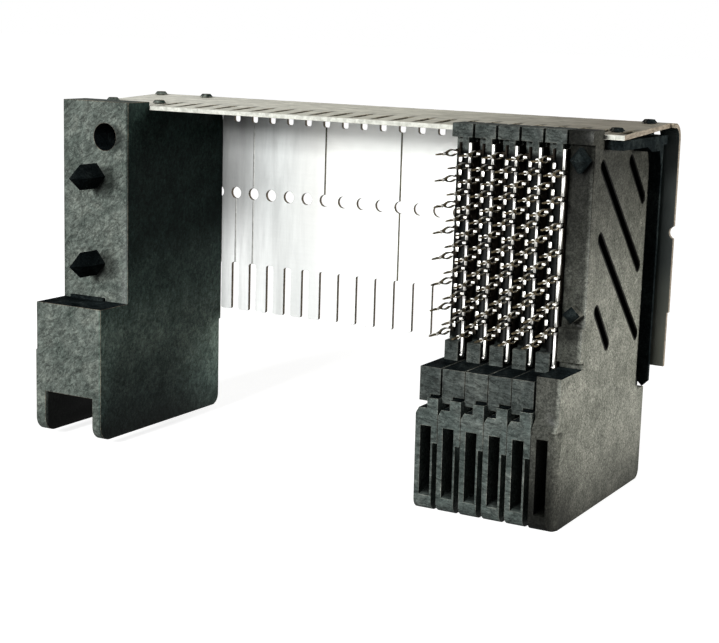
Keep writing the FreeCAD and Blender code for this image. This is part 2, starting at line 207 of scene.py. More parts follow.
class NodeBench:
    """Adds and joins the nodes of one tree."""

    def __init__(self, tree):
        self.tree = tree

    def add(self, kind, **values):
        node = self.tree.nodes.new(kind)
        for name, value in values.items():
            setattr(node, name, value)
        return node

    def link(self, output, entry):
        self.tree.links.new(output, entry)

    def math(self, operation, first, second=0.0):
        node = self.add("ShaderNodeMath", operation=operation)
        for entry, value in zip(node.inputs, (first, second)):
            if isinstance(value, (int, float)):
                entry.default_value = value
            else:
                self.link(value, entry)
        return node.outputs[0]

    def product(self, *factors):
        result = factors[0]
        for factor in factors[1:]:
            result = self.math("MULTIPLY", result, factor)
        return result

    def mix(self, factor, first, second, blend="MIX"):
        node = self.add("ShaderNodeMix", data_type="RGBA", blend_type=blend)
        for entry, value in zip((node.inputs[0], node.inputs[6], node.inputs[7]), (factor, first, second)):
            if isinstance(value, (int, float)):
                entry.default_value = value
            elif isinstance(value, tuple):
                entry.default_value = (*value, 1)
            else:
                self.link(value, entry)
        return node.outputs[2]

    def times(self, tone, factor, share=1.0):
        """A tone multiplied by a factor, as far as share says."""
        return self.mix(share, tone, factor, "MULTIPLY")

    def ramp(self, value, *stops):
        """Stops are (place, grey or colour) pairs."""
        node = self.add("ShaderNodeValToRGB")
        elements = node.color_ramp.elements
        while len(elements) < len(stops):
            elements.new(0.5)
        for element, (place, tone) in zip(elements, stops):
            element.position = place
            element.color = (*tone, 1) if isinstance(tone, tuple) else (tone, tone, tone, 1)
        self.link(value, node.inputs[0])
        return node.outputs[0]

    def step(self, value, start, end):
        """0 at start and 1 at end, with a soft change between them."""
        node = self.add("ShaderNodeMapRange", interpolation_type="SMOOTHSTEP")
        self.link(value, node.inputs["Value"])
        node.inputs["From Min"].default_value = start
        node.inputs["From Max"].default_value = end
        return node.outputs["Result"]

    def inside(self, *borders):
        """1 inside all borders. Each is an axis, the place where it is 0 and the place where it is 1."""
        return self.product(*[self.step(*border) for border in borders])

    def near(self, axes, place, reach):
        """1 at a place of a face, falling to 0 at its reach."""
        squares = []
        for axis, middle in zip(axes, place):
            squares.append(self.math("POWER", self.math("SUBTRACT", axis, middle), 2.0))
        return self.step(self.math("SQRT", self.math("ADD", *squares)), reach, reach * 0.35)

    def shade(self, mask, depth):
        """A factor of 1 where the mask is 0, and of depth where it is 1."""
        return self.ramp(mask, (0.0, 1.0), (1.0, depth))

    def place(self, stretch=(1, 1, 1), turn=(0, 0, 0)):
        """The part's own coordinates in millimetres, turned and then stretched."""
        mapping = self.add("ShaderNodeMapping", vector_type="TEXTURE")
        mapping.inputs["Scale"].default_value = [MM / axis for axis in stretch]
        mapping.inputs["Rotation"].default_value = [math.radians(angle) for angle in turn]
        self.link(self.add("ShaderNodeTexCoord").outputs["Object"], mapping.inputs["Vector"])
        return mapping.outputs[0]

    def axes(self):
        """The part's own X, Y and Z in millimetres."""
        node = self.add("ShaderNodeSeparateXYZ")
        self.link(self.place(), node.inputs[0])
        return node.outputs[0], node.outputs[1], node.outputs[2]

    def noise(self, vector, scale, detail, roughness, distortion=0.0):
        node = self.add("ShaderNodeTexNoise")
        node.inputs["Scale"].default_value = scale
        node.inputs["Detail"].default_value = detail
        node.inputs["Roughness"].default_value = roughness
        node.inputs["Distortion"].default_value = distortion
        self.link(vector, node.inputs["Vector"])
        return node.outputs["Fac"]

    def bump(self, height, strength, distance, under=None):
        node = self.add("ShaderNodeBump")
        node.inputs["Strength"].default_value = strength
        node.inputs["Distance"].default_value = distance * MM
        self.link(height, node.inputs["Height"])
        if under is not None:
            self.link(under, node.inputs["Normal"])
        return node.outputs[0]

    def output(self, shader, kind="ShaderNodeOutputMaterial"):
        self.link(shader, self.add(kind).inputs["Surface"])

    def surface(self, tone, roughness, skin, settings):
        """The shader of a finish. Settings are numbers that are the same all over it."""
        shader = self.add("ShaderNodeBsdfPrincipled")
        self.link(tone, shader.inputs["Base Color"])
        self.link(roughness, shader.inputs["Roughness"])
        self.link(skin, shader.inputs["Normal"])
        for name, value in settings.items():
            shader.inputs[name].default_value = value
        self.output(shader.outputs[0])


def new_material(name):
    material = bpy.data.materials.new(name)
    material.use_nodes = True
    material.node_tree.nodes.clear()
    return material, NodeBench(material.node_tree)


def white_behind(bench, seen, unseen):
    """What camera, gloss and glass see, and what the light that reaches other surfaces sees."""
    path = bench.add("ShaderNodeLightPath")
    straight = bench.math("MAXIMUM", path.outputs["Is Camera Ray"], path.outputs["Is Glossy Ray"])
    clear = bench.math("MAXIMUM", straight, path.outputs["Is Transmission Ray"])
    return bench.mix(clear, (unseen,) * 3, (seen,) * 3)


def light_the_set():
    world = bpy.data.worlds.new("studio")
    world.use_nodes = True
    world.node_tree.nodes.clear()
    bench = NodeBench(world.node_tree)
    background = bench.add("ShaderNodeBackground")
    bench.link(white_behind(bench, seen=1.0, unseen=0.06), background.inputs["Color"])
    bench.output(background.outputs[0], "ShaderNodeOutputWorld")
    bpy.context.scene.world = world
    add_lamp("side_lamp", place=(270, 45, 50), target=(20, 0, 14), size=70, watts=0.95,
             color=(1.0, 0.985, 0.94))
    add_lamp("front_lamp", place=(-18, -255, 95), target=(0, 0, 15), size=60, watts=0.92,
             color=(0.98, 1.0, 0.985))
    bpy.context.scene.view_settings.view_transform = "Standard"


def add_floor():
    reach = FLOOR_REACH * MM
    mesh = bpy.data.meshes.new("floor")
    corners = [(-reach, -reach, 0), (reach, -reach, 0), (reach, reach, 0), (-reach, reach, 0)]
    mesh.from_pydata(corners, [], [(0, 1, 2, 3)])
    floor = bpy.data.objects.new("floor", mesh)
    floor.location.z = -FLOOR_DROP * MM
    material, bench = new_material("pale floor")
    diffuse = bench.add("ShaderNodeBsdfDiffuse")
    bench.link(white_behind(bench, seen=0.5, unseen=0.2), diffuse.inputs["Color"])
    distance = bench.add("ShaderNodeVectorMath", operation="LENGTH")
    bench.link(bench.place(), distance.inputs[0])
    glow = bench.add("ShaderNodeEmission")
    bench.link(white_behind(bench, seen=1.0, unseen=0.0), glow.inputs["Color"])
    far = bench.step(distance.outputs["Value"], *FLOOR_FADE)
    bench.link(bench.ramp(far, (0.0, FLOOR_GLOW[0]), (1.0, FLOOR_GLOW[1])), glow.inputs["Strength"])
    both = bench.add("ShaderNodeAddShader")
    bench.link(diffuse.outputs[0], both.inputs[0])
    bench.link(glow.outputs[0], both.inputs[1])
    bench.output(both.outputs[0])
    mesh.materials.append(material)
    bpy.context.scene.collection.objects.link(floor)


def moulded_plastic(name, dark, middle, light, flow, shade=None, coat=0.08):
    """Glass-filled plastic: cloudy flow marks, short fibres along the flow, pits and pale specks."""
    material, bench = new_material(name)
    turn, stretch, fineness = flow
    plain = bench.place()
    along_flow = bench.place(stretch, turn)
    clouds = bench.noise(plain, scale=0.42, detail=7, roughness=0.62, distortion=0.8)
    fibres = bench.noise(along_flow, scale=fineness, detail=8, roughness=0.72, distortion=0.45)
    folds = bench.noise(along_flow, scale=0.42 * fineness, detail=3, roughness=0.6, distortion=0.9)
    pits = bench.noise(plain, scale=7.5, detail=4, roughness=0.65, distortion=0.3)
    wrinkles = bench.ramp(folds, (0.45, 1.0), (0.5, 0.36), (0.55, 1.0))
    specks = tuple(min(1.0, 2.2 * part) for part in light)
    tone = bench.ramp(clouds, (0.3, dark), (0.5, middle), (0.7, light))
    tone = bench.times(tone, bench.ramp(fibres, (0.34, 0.4), (0.5, 0.92), (0.66, 1.65)), 0.9)
    tone = bench.times(tone, wrinkles, 0.75)
    tone = bench.times(tone, bench.ramp(pits, (0.33, 0.5), (0.45, 1.0)), 0.8)
    tone = bench.mix(bench.ramp(pits, (0.6, 0.0), (0.74, 0.5)), tone, specks)
    if shade is not None:
        tone = bench.times(tone, shade(bench))
    skin = bench.bump(clouds, strength=0.35, distance=0.2)
    skin = bench.bump(wrinkles, strength=0.4, distance=0.05, under=skin)
    skin = bench.bump(fibres, strength=0.8, distance=0.07, under=skin)
    skin = bench.bump(pits, strength=0.5, distance=0.03, under=skin)
    bench.surface(tone, bench.ramp(fibres, (0.3, 0.68), (0.7, 0.46)), skin,
                  {"Specular IOR Level": 0.0, "Coat Weight": coat, "Coat Roughness": 0.32})
    return material


def painted_pocket_shade(bench):
    """Painted shade: nearly black in the recesses between the tails."""
    y, z = bench.axes()[1:]
    pocket = bench.inside((z, POCKET_TOP, POCKET_TOP - 0.4), (z, POCKET_BOTTOM, POCKET_BOTTOM + 0.3),
                          (y, FACE_Y - 0.25, FACE_Y - 0.05), (y, FACE_Y + 3.0, FACE_Y + 2.0))
    return bench.shade(pocket, 0.06)


def painted_groove_shade(bench):
    """Painted shade: black in the upright grooves of the feet, but for their left walls."""
    x, y, z = bench.axes()
    across = bench.math("FLOORED_MODULO", bench.math("SUBTRACT", x, FIRST_WAFER_LEFT), PITCH)
    left, right = FOOT_GROOVE_X
    bottom, top = FOOT_GROOVE_Z
    groove = bench.inside((across, left, left + 0.12), (across, right, right - 0.06),
                          (y, FACE_Y - 4.5, FACE_Y - 3.9), (y, FACE_Y + 1, FACE_Y),
                          (z, bottom, bottom + 0.4), (z, top, top - 0.4))
    return bench.shade(groove, 0.1)


def beside_slot(bench, y, z, start, end):
    """Distance from the middle line of a slot in the end wafer's side."""
    reach = Vector(end) - Vector(start)
    length = reach.length
    from_start = [bench.math("SUBTRACT", axis, place) for axis, place in zip((y, z), start)]
    shares = [bench.math("MULTIPLY", part, run / length) for part, run in zip(from_start, reach)]
    along = bench.math("MAXIMUM", bench.math("ADD", *shares), SLOT_SHADE_REACH)
    kept = bench.math("MINIMUM", along, length - SLOT_SHADE_REACH)
    squares = []
    for part, run in zip(from_start, reach):
        gap = bench.math("SUBTRACT", part, bench.math("MULTIPLY", kept, run / length))
        squares.append(bench.math("POWER", gap, 2.0))
    return bench.math("SQRT", bench.math("ADD", *squares))


def painted_end_shade(bench):
    """Painted light and shade on the end wafer: lighter in the middle of its height and darker at the top and
    towards the foot, near black off its plain side, on its rib, on its slot bottoms and beside its slots, with
    painted shadows round the pegs and painted shade in the grooves of the foot.
    """
    x, y, z = bench.axes()
    # Painted light and shade up the height of the wafer.
    painted_shade = bench.ramp(bench.math("DIVIDE", z, HEIGHT), (0.0, 0.28), (0.08, 0.68), (0.2, 1.14), (0.5, 1.2),
                       (0.66, 0.82), (0.78, 0.42), (0.9, 0.22))
    off_side = bench.inside((x, END_SIDE_X - 0.1, END_SIDE_X - 0.45))
    rib = bench.inside((x, END_SIDE_X + 0.02, END_SIDE_X + 0.15))
    toe = bench.near((y, z), (FACE_Y - 4.6, 0.3), 6.5)
    bottoms = bench.inside((x, END_SIDE_X - 0.03, END_SIDE_X - 0.08), (x, END_SIDE_X - 1.1, END_SIDE_X - 0.9),
                           (y, FACE_Y + 1.2, FACE_Y + 1.6), (y, FACE_Y + 13.3, FACE_Y + 13))
    # Painted shade off the plain side, on the rib, towards the foot and on the slot bottoms.
    spots = [(off_side, 0.34), (rib, 0.1), (toe, 0.42), (bottoms, 0.08)]
    on_front = bench.step(y, FACE_Y + 0.9, FACE_Y + 0.5)
    # Painted shadows round the pegs.
    for place, reach in END_PAINTED_SHADOWS:
        spots.append((bench.product(on_front, bench.near((x, z), place, reach)), 0.3))
    on_side = bench.step(x, END_SIDE_X - 1.0, END_SIDE_X - 0.9)
    # Painted shade beside the side slots, making them look wider.
    for start, end in SIDE_SLOTS:
        rim = bench.step(beside_slot(bench, y, z, start, end), SLOT_SHADE_REACH + 0.12, SLOT_SHADE_REACH)
        spots.append((bench.product(rim, on_side), 0.04))
    for spot, depth in spots:
        painted_shade = bench.times(painted_shade, bench.shade(spot, depth))
    return bench.times(painted_shade, painted_groove_shade(bench))


def painted_guide_shade(bench):
    """Painted shade on the guide module: black in the tunnel, painted shadows round the pegs and the bore, and
    painted shade over most of the right side.
    """
    x, y, z = bench.axes()
    tunnel = bench.inside((x, GUIDE_LEFT + 0.7, GUIDE_LEFT + 0.95), (x, GUIDE_RIGHT - 0.7, GUIDE_RIGHT - 0.95),
                          (z, 4.6, 4.4), (y, FACE_Y - 4.75, FACE_Y - 4.3))
    # Painted shade on the right side, lightest at about a third of its height.
    side = bench.ramp(bench.math("DIVIDE", z, HEIGHT), (0.03, (0.2, 0.25, 0.25)), (0.12, (0.5, 0.62, 0.62)),
                      (0.3, (1.0, 1.15, 1.1)), (0.44, (0.4, 0.52, 0.5)), (0.6, (0.1, 0.16, 0.155)))
    on_side = bench.step(x, GUIDE_RIGHT - 0.3, GUIDE_RIGHT - 0.05)
    guide_shade = bench.mix(on_side, bench.shade(tunnel, 0.06), side)
    on_front = bench.step(y, GUIDE_FRONT_Y + 0.3, GUIDE_FRONT_Y + 0.05)
    # Painted shadows round the pegs and the bore.
    for place, reach in GUIDE_PAINTED_SHADOWS:
        spot = bench.product(on_front, bench.near((x, z), place, reach))
        guide_shade = bench.times(guide_shade, bench.shade(spot, 0.3))
    return guide_shade


def along_strip(bench, x):
    """A share of STRIP_SPAN along the organizer, 0.5 at its middle."""
    return bench.math("ADD", bench.math("DIVIDE", x, STRIP_SPAN), 0.5)


def satin_sheet():
    """Satin sheet steel, with painted shade and a painted dark reflection of the guide module in the upper corner
    beside it, and a painted dark reflection at its far end, darkest at the top.
    """
    material, bench = new_material("satin sheet steel")
    x, y, z = bench.axes()
    brushed = bench.noise(bench.place((0.06, 1, 1)), scale=4.0, detail=4, roughness=0.55)
    cloudy = bench.noise(bench.place(), scale=0.3, detail=5, roughness=0.6, distortion=0.6)
    smears = bench.noise(bench.place((1, 1, 0.12)), scale=0.9, detail=6, roughness=0.6, distortion=0.5)
    along = along_strip(bench, x)
    # Painted shade and dark reflection of the guide module in the upper part near it.
    upper = bench.ramp(along, (0.22, 0.36), (0.265, (0.66, 0.67, 0.67)), (0.3, (0.79, 0.8, 0.795)),
                       (0.355, (0.77, 0.765, 0.75)), (0.39, (0.93, 0.92, 0.9)), (0.43, (0.97, 0.97, 0.95)))
    lower = bench.ramp(along, (0.2, 1.0), (0.26, 1.0), (0.3, (0.82, 0.825, 0.82)), (0.34, (0.82, 0.825, 0.82)),
                       (0.4, (0.93, 0.93, 0.91)), (0.46, (0.97, 0.97, 0.96)))
    tone = bench.mix(bench.step(z, 14.5, 22.5), lower, upper)
    tone = bench.times(tone, bench.ramp(cloudy, (0.32, 0.95), (0.66, 1.0)))
    tone = bench.times(tone, bench.ramp(smears, (0.36, 0.8), (0.6, 1.0)), bench.step(along, 0.38, 0.28))
    tone = bench.times(tone, bench.ramp(brushed, (0.3, 0.9), (0.7, 1.0)), 0.3)
    # Painted dark reflection and shade on the far end of the sheet, behind the end wafer, darkest at the top.
    far_end = bench.inside((x, 24.3, 24.7), (y, BACK_Y - 0.1, BACK_Y - 0.25))
    painted_shade = bench.ramp(bench.math("DIVIDE", z, HEIGHT), (0.42, (0.11, 0.115, 0.095)),
                       (0.62, (0.012, 0.018, 0.017)))
    skin = bench.bump(cloudy, strength=0.3, distance=0.08)
    skin = bench.bump(brushed, strength=0.08, distance=0.01, under=skin)
    bench.surface(bench.mix(far_end, tone, painted_shade), bench.ramp(cloudy, (0.3, 0.42), (0.7, 0.32)), skin,
                  {"Metallic": 0.15})
    return material


def handled_top():
    """The upper side of the sheet, handled and stained, darker towards the end wafer, and darker along its slots.
    """
    material, bench = new_material("handled top of the sheet")
    x, y = bench.axes()[:2]
    stains = bench.noise(bench.place((0.35, 1, 1)), scale=1.1, detail=6, roughness=0.65, distortion=1.2)
    tone = bench.ramp(along_strip(bench, x), (0.05, (0.82, 0.805, 0.715)), (0.55, (0.58, 0.562, 0.475)),
                      (0.85, (0.2, 0.18, 0.137)))
    tone = bench.times(tone, bench.ramp(stains, (0.35, 0.62), (0.62, 1.15)), 0.85)
    across = bench.math("FLOORED_MODULO", bench.math("SUBTRACT", x, COLUMN_ORIGIN), PITCH)
    from_slot = bench.math("ABSOLUTE", bench.math("SUBTRACT", across, PITCH / 2))
    trail = bench.inside((from_slot, 0.3, 0.18), (x, COLUMN_ORIGIN + 0.4, COLUMN_ORIGIN + 0.6),
                         (y, FACE_Y + 2.4, FACE_Y + 2.7), (y, FACE_Y + 7.4, FACE_Y + 6.4))
    tone = bench.times(tone, bench.shade(trail, 0.35))
    bench.surface(tone, bench.ramp(stains, (0.3, 0.75), (0.7, 0.6)),
                  bench.bump(stains, strength=0.4, distance=0.05),
                  {"Metallic": 0.25, "Specular IOR Level": 0.2})
    return material


def sheared_edge():
    """The cut edges of the sheet, dark and streaked by the tool."""
    material, bench = new_material("sheared steel edge")
    streaks = bench.noise(bench.place((1, 0.2, 1)), scale=6.0, detail=4, roughness=0.6)
    tone = bench.ramp(streaks, (0.3, (0.08, 0.065, 0.048)), (0.7, (0.26, 0.22, 0.17)))
    bench.surface(tone, bench.ramp(streaks, (0.3, 0.6), (0.7, 0.42)),
                  bench.bump(streaks, strength=0.3, distance=0.02),
                  {"Metallic": 0.2, "Specular IOR Level": 0.1})
    return material


def spotted_metal(name, dark, light, roughness, metallic):
    """Metal or plating, dimmed in spots and finely scratched. Its light spots take the lower roughness."""
    material, bench = new_material(name)
    spots = bench.noise(bench.place(), scale=2.2, detail=4, roughness=0.6, distortion=0.5)
    scratches = bench.noise(bench.place((1, 0.3, 1)), scale=14.0, detail=3, roughness=0.5)
    smooth, rough = roughness
    bench.surface(bench.ramp(spots, (0.32, dark), (0.62, light)),
                  bench.ramp(spots, (0.3, rough), (0.7, smooth)),
                  bench.bump(scratches, strength=0.15, distance=0.01),
                  {"Metallic": metallic, "Specular IOR Level": 0.0})
    return material


# How the plastic flowed in a mould: turn of the fibres in degrees, their stretch and their fineness
CRUMPLED = ((0, -35, 20), (0.45, 1, 1), 3.2)
LYING = ((0, 4, 0), (0.4, 1, 1), 4.0)
GRAINY = ((0, 0, 0), (1, 1, 1), 5.0)

GUIDE_PLASTIC = moulded_plastic("guide plastic", (0.06, 0.075, 0.066), (0.115, 0.132, 0.119),
                                (0.18, 0.197, 0.175), CRUMPLED, painted_guide_shade)
# Lighter copy, painted as highlight on the rounded edges.
GUIDE_EDGE_HIGHLIGHT = moulded_plastic("guide plastic edge highlight", (0.09, 0.085, 0.07), (0.17, 0.145, 0.115),
                             (0.3, 0.24, 0.17), CRUMPLED)
# Black painted as shade on pegs, ledges, the end wafer's rib and the screw bore.
SHADE_BLACK_PLASTIC = moulded_plastic("black plastic painted as shade on pegs and ledges", (0.003, 0.0045, 0.005), (0.008, 0.011, 0.012),
                                (0.024, 0.03, 0.03), GRAINY, coat=0.015)
HOUSING_PLASTIC = moulded_plastic("housing plastic", (0.034, 0.041, 0.039), (0.062, 0.071, 0.067),
                                  (0.102, 0.112, 0.104), LYING, painted_pocket_shade)
# Lighter copy, painted as highlight on the rounded edges.
HOUSING_EDGE_HIGHLIGHT = moulded_plastic("housing plastic edge highlight", (0.05, 0.055, 0.05), (0.1, 0.105, 0.095),
                               (0.17, 0.17, 0.15), LYING, painted_pocket_shade)
FOOT_PLASTIC = moulded_plastic("foot plastic", (0.045, 0.057, 0.053), (0.08, 0.096, 0.09),
                               (0.128, 0.142, 0.132), LYING, painted_groove_shade)
# Lighter copy, painted as highlight on the rounded edges.
FOOT_EDGE_HIGHLIGHT = moulded_plastic("foot plastic edge highlight", (0.1, 0.11, 0.1), (0.19, 0.2, 0.18),
                            (0.32, 0.32, 0.28), LYING, painted_groove_shade)
END_PLASTIC = moulded_plastic("end wafer plastic", (0.11, 0.114, 0.098), (0.168, 0.172, 0.15),
                              (0.235, 0.236, 0.207), GRAINY, painted_end_shade)
# Lighter copy, painted as highlight on the rounded edges.
END_EDGE_HIGHLIGHT = moulded_plastic("end wafer plastic edge highlight", (0.12, 0.12, 0.1), (0.2, 0.19, 0.16),
                           (0.3, 0.28, 0.23), GRAINY, painted_end_shade)
STEEL = satin_sheet()
TOP_STEEL = handled_top()
CUT_EDGE = sheared_edge()
FRONT_EDGE = spotted_metal("front edge of the sheet", (0.44, 0.44, 0.395), (0.7, 0.695, 0.64),
                           (0.6, 0.75), 0.0)
DEEP_SCORE = spotted_metal("deep score line", (0.07, 0.063, 0.048), (0.2, 0.18, 0.14), (0.6, 0.75), 0.0)
FAINT_SCORE = spotted_metal("faint score line", (0.36, 0.36, 0.35), (0.56, 0.555, 0.54), (0.5, 0.6), 0.1)
# Bright plating of the bar faces, also used for the painted highlights on the lead faces.
BAR_PLATING = spotted_metal("bar face plating", (0.84, 0.82, 0.76), (0.98, 0.97, 0.94), (0.25, 0.4), 1.0)
# Painted highlight on the glint spots and on the upper faces of the eyes.
GLINT_PLATING = spotted_metal("tail glint plating", (0.85, 0.83, 0.76), (0.98, 0.97, 0.94), (0.25, 0.4), 1.0)
# Tails painted dark, standing in for the dark recesses that they reflect.
TAIL_PLATING_DARK_REFLECTION = spotted_metal("tail plating painted dark as reflection", (0.012, 0.01, 0.006), (0.13, 0.105, 0.066), (0.35, 0.5), 0.25)
# Plating painted near black as shade in the recesses.
RECESS_PLATING_SHADE = spotted_metal("plating painted near black as shade in the recesses", (0.006, 0.005, 0.004), (0.03, 0.025, 0.02),
                               (0.5, 0.7), 0.0)
OPENING_FINISHES = (CUT_EDGE, DEEP_SCORE, FAINT_SCORE)
SHEET_FINISHES = (STEEL, TOP_STEEL, CUT_EDGE, DEEP_SCORE, FAINT_SCORE, FRONT_EDGE)
STAMPING_FINISHES = (BAR_PLATING, RECESS_PLATING_SHADE, TAIL_PLATING_DARK_REFLECTION, GLINT_PLATING)


def link_object(name, mesh, materials=()):
    piece = bpy.data.objects.new(name, mesh)
    for material in materials:
        mesh.materials.append(material)
    bpy.context.scene.collection.objects.link(piece)
    return piece


def mesh_from(name, work):
    mesh = bpy.data.meshes.new(name)
    work.to_mesh(mesh)
    work.free()
    return mesh


def merged_copy(node):
    """A node's mesh with its loose triangles joined and its flat faces made whole."""
    work = bmesh.new()
    work.from_mesh(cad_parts[node].data)
    bmesh.ops.remove_doubles(work, verts=work.verts, dist=0.0005 * MM)
    bmesh.ops.dissolve_limit(work, angle_limit=math.radians(1.5), verts=work.verts, edges=work.edges)
    return work


def soften(piece, width, segments=2, angle=28, edge_slot=-1):
    """Rounds the outward edges, but not between two faces of the third material or a later one. The rounding
    takes the material of edge_slot, or that of a face beside it where edge_slot is -1."""
    work = bmesh.new()
    work.from_mesh(piece.data)
    weight = work.edges.layers.float.new("bevel_weight_edge")
    for edge in work.edges:
        if len(edge.link_faces) != 2 or edge.calc_face_angle(0) < math.radians(angle):
            continue
        if edge.is_convex and min(face.material_index for face in edge.link_faces) < 2:
            edge[weight] = 1.0
        else:
            edge.smooth = False
    for face in work.faces:
        face.smooth = True
    work.to_mesh(piece.data)
    work.free()
    bevel = piece.modifiers.new("soft edges", "BEVEL")
    bevel.width = width * MM
    bevel.segments = segments
    bevel.limit_method = "WEIGHT"
    bevel.harden_normals = True
    bevel.material = edge_slot


def finish_piece(piece, node):
    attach(piece, "root")
    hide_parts(node)


def moulded_piece(node, materials, edge_width, is_painted_shade):
    """A moulding whose faces, rounded edges and black faces take the three materials in turn: its plastic, a
    lighter copy painted as highlight on the edges, and black painted as shade.
    """
    work = merged_copy(node)
    bmesh.ops.recalc_face_normals(work, faces=work.faces)
    for face in work.faces:
        if is_painted_shade(face.calc_center_median() / MM, face.normal):
            face.material_index = 2
    name = node + "_moulding"
    piece = link_object(name, mesh_from(name, work), materials)
    soften(piece, edge_width, edge_slot=1)
    finish_piece(piece, node)


def is_between(value, limits):
    return limits[0] < value < limits[1]


def is_ledge(centre, normal, heights):
    return normal.z > 0.9 and is_between(centre.z, heights)


def painted_shade_on_guide(centre, normal):
    """Painted shade, in black: pegs, the rib at their foot, the ledge they stand over and the wall of the screw
    bore.
    """
    x, z, radius = SCREW_BORE
    in_bore = centre.y > GUIDE_FRONT_Y + 0.05 and math.hypot(centre.x - x, centre.z - z) < radius
    stands_out = centre.y < GUIDE_FRONT_Y - 0.05 and centre.z > GUIDE_FOOT_TOP + 0.05
    return in_bore or stands_out or is_ledge(centre, normal, GUIDE_LEDGE)


def painted_shade_on_end(centre, normal):
    """Painted shade, in black: pegs, the ledge and the rib that stands out of the side."""
    rib = centre.x > END_SIDE_X + 0.1
    upper_peg = centre.y < FACE_Y + 0.4 and is_between(centre.z, END_UPPER_PEG)
    lower_peg = centre.y < FACE_Y - 0.2 and is_between(centre.z, END_LOWER_PEG)
    return rib or upper_peg or lower_peg or is_ledge(centre, normal, END_LEDGE)


def painted_shade_on_housing(centre, normal):
    """Painted shade, in black: the ledge over the band."""
    return centre.y < FACE_Y + 1 and is_ledge(centre, normal, HOUSING_LEDGE)


def painted_shade_on_foot(centre, normal):
    """Painted shade, in black: the shoulders under the band."""
    return normal.z > 0.7 and centre.z > FOOT_SHOULDER_Z


def prism(work, outline, to_point, low, high):
    """Adds a closed prism whose outline is a list of (a, b) pairs, laid out by to_point(a, b, depth)."""
    rings = [[work.verts.new(Vector(to_point(a, b, depth)) * MM) for a, b in outline] for depth in (low, high)]
    faces = [work.faces.new(rings[0]), work.faces.new(list(reversed(rings[1])))]
    count = len(outline)
    for index in range(count):
        after = (index + 1) % count
        faces.append(work.faces.new((rings[0][after], rings[0][index], rings[1][index], rings[1][after])))
    return faces


def side_point(a, b, depth):
    return (depth, a, b)


def back_point(a, b, depth):
    return (a, depth, b)


def top_point(a, b, depth):
    return (a, b, depth)


def arc(centre_a, centre_b, radius, start, end, steps):
    return [(centre_a + radius * math.cos(math.radians(start + (end - start) * step / steps)),
             centre_b + radius * math.sin(math.radians(start + (end - start) * step / steps)))
            for step in range(steps + 1)]


def circle(centre_a, centre_b, radius):
    """The 24 corners of a round hole."""
    return arc(centre_a, centre_b, radius, 0, 345, 23)


def rectangle(low_a, high_a, low_b, high_b):
    return [(low_a, low_b), (high_a, low_b), (high_a, high_b), (low_a, high_b)]


def round_top(half, corner, top):
    """The upper end of an opening, from its right side over to its left side."""
    return (arc(half - corner, top - corner, corner, 0, 90, 5)
            + arc(corner - half, top - corner, corner, 90, 180, 5))


def round_bottom(half, corner, bottom):
    """The lower end of an opening, from its left side over to its right side."""
    return [(-a, -b) for a, b in round_top(half, corner, -bottom)]


def comb_slot_outline():
    half = COMB_SLOT_WIDTH / 2
    mouth = half + FINGER_CORNER
    left = arc(-mouth, FINGER_BOTTOM + FINGER_CORNER, FINGER_CORNER, 0, -90, 5)
    right = arc(mouth, FINGER_BOTTOM + FINGER_CORNER, FINGER_CORNER, -90, -180, 5)
    below = FINGER_BOTTOM - OVERRUN
    return round_top(half, OPENING_CORNER, COMB_SLOT_TOP) + left + [(-mouth, below), (mouth, below)] + right


def bend_hole_outline():
    half = BEND_HOLE_WIDTH / 2
    above = TOP_BACK_Z + OVERRUN
    return round_bottom(half, OPENING_CORNER, BEND_HOLE_BOTTOM) + [(half, above), (-half, above)]


def top_slot_outline():
    half = TOP_SLOT_WIDTH / 2
    return (round_top(half, TOP_SLOT_CORNER, TOP_SLOT_BACK)
            + round_bottom(half, TOP_SLOT_CORNER, TOP_SLOT_FRONT))


def row_tree(name, shape):
    """A geometry tree that repeats one shape in a row. Step is the row's direction, Finish its material."""
    tree = bpy.data.node_groups.new(name, "GeometryNodeTree")
    tree.interface.new_socket("Geometry", in_out="OUTPUT", socket_type="NodeSocketGeometry")
    for title, kind in (("Count", "NodeSocketInt"), ("Pitch", "NodeSocketFloat"),
                        ("Start", "NodeSocketVector"), ("Step", "NodeSocketVector"),
                        ("Finish", "NodeSocketMaterial")):
        tree.interface.new_socket(title, in_out="INPUT", socket_type=kind)
    bench = NodeBench(tree)
    entry = bench.add("NodeGroupInput")
    line = bench.add("GeometryNodeMeshLine", mode="OFFSET")
    stride = bench.add("ShaderNodeVectorMath", operation="SCALE")
    bench.link(entry.outputs["Step"], stride.inputs[0])
    bench.link(entry.outputs["Pitch"], stride.inputs["Scale"])
    bench.link(entry.outputs["Count"], line.inputs["Count"])
    bench.link(entry.outputs["Start"], line.inputs["Start Location"])
    bench.link(stride.outputs[0], line.inputs["Offset"])
    source = bench.add("GeometryNodeObjectInfo")
    source.inputs["Object"].default_value = shape
    copies = bench.add("GeometryNodeInstanceOnPoints")
    bench.link(line.outputs["Mesh"], copies.inputs["Points"])
    bench.link(source.outputs["Geometry"], copies.inputs["Instance"])
    solid = bench.add("GeometryNodeRealizeInstances")
    bench.link(copies.outputs[0], solid.inputs[0])
    painted = bench.add("GeometryNodeSetMaterial")
    bench.link(solid.outputs[0], painted.inputs["Geometry"])
    bench.link(entry.outputs["Finish"], painted.inputs["Material"])
    bench.link(painted.outputs[0], bench.add("NodeGroupOutput").inputs[0])
    return tree


